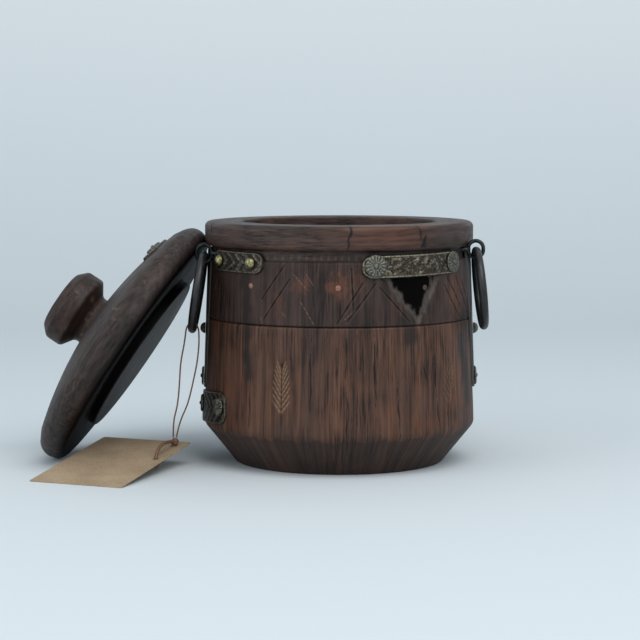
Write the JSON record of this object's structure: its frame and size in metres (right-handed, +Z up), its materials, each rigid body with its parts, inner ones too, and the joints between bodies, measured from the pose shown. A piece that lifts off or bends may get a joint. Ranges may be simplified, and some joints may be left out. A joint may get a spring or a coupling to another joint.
{
  "type": "canister with lid",
  "caption": "Turned wooden canister with sunk neck band, riveted straps, side ring pulls, a knobbed lid leaning on its side and a hanging card tag.",
  "frame": {"origin": "centre of the pot's flat base, on the surface it stands on", "axes": "+Z up along the pot's axis, -Y towards the viewer, +X to the viewer's right, the lid leans at -X"},
  "size_m": [0.2907, 0.2105, 0.157],
  "materials": {
    "pot_wood": "dark stained, waxed",
    "lid_wood": "dark stained, waxed",
    "peg_wood": "pale, unfinished",
    "dark_metal": "embossed, blackened",
    "pewter": "hammered, antiqued",
    "black_leather": "black, semi-matte",
    "aged_brass": "antiqued",
    "blackened_steel": "blackened",
    "satin_black": "satin black",
    "kraft_card": "matte",
    "brown_twine": "waxed cord"
  },
  "bodies": {
    "pot": {"pot_body": "pot_wood", "band_pegs": "peg_wood", "front_left_band": "dark_metal", "front_right_band": "pewter", "low_left_patch": "dark_metal", "left_side_strap": "black_leather", "right_side_strap": "black_leather", "right_band_rosettes": "aged_brass", "left_band_dome_nails": "aged_brass", "low_patch_rosettes": "aged_brass", "strap_dome_nails": "aged_brass", "strap_foot_rosettes": "aged_brass", "left_eye": "blackened_steel", "right_eye": "blackened_steel", "tag": "kraft_card", "tag_twine": "brown_twine", "twine_tail": "brown_twine", "join_knot": "brown_twine", "stop_knot": "brown_twine"},
    "left_pull": {"left_ring": "satin_black"},
    "right_pull": {"right_ring": "satin_black"},
    "lid": {"lid_plate": "lid_wood", "lid_knob": "lid_wood", "knob_dowel": "peg_wood", "lid_patch": "dark_metal", "lid_rosette": "aged_brass"}
  },
  "joints": [
    {"name": "left_ring_swing", "type": "hinge", "parent": "pot", "child": "left_pull", "pos_m": [-0.08719, -0.03, 0.13631], "axis": [0, 1, 0], "range_deg": [0, 9], "deforming": ["tag_twine"]},
    {"name": "right_ring_swing", "type": "hinge", "parent": "pot", "child": "right_pull", "pos_m": [0.08759, -0.03, 0.13891], "axis": [0, -1, 0], "range_deg": [0, 150]},
    {"name": "lid_lift", "type": "slide", "parent": "pot", "child": "lid", "axis": [0, 0, 1], "range_m": [0, 0.17]}
  ]
}
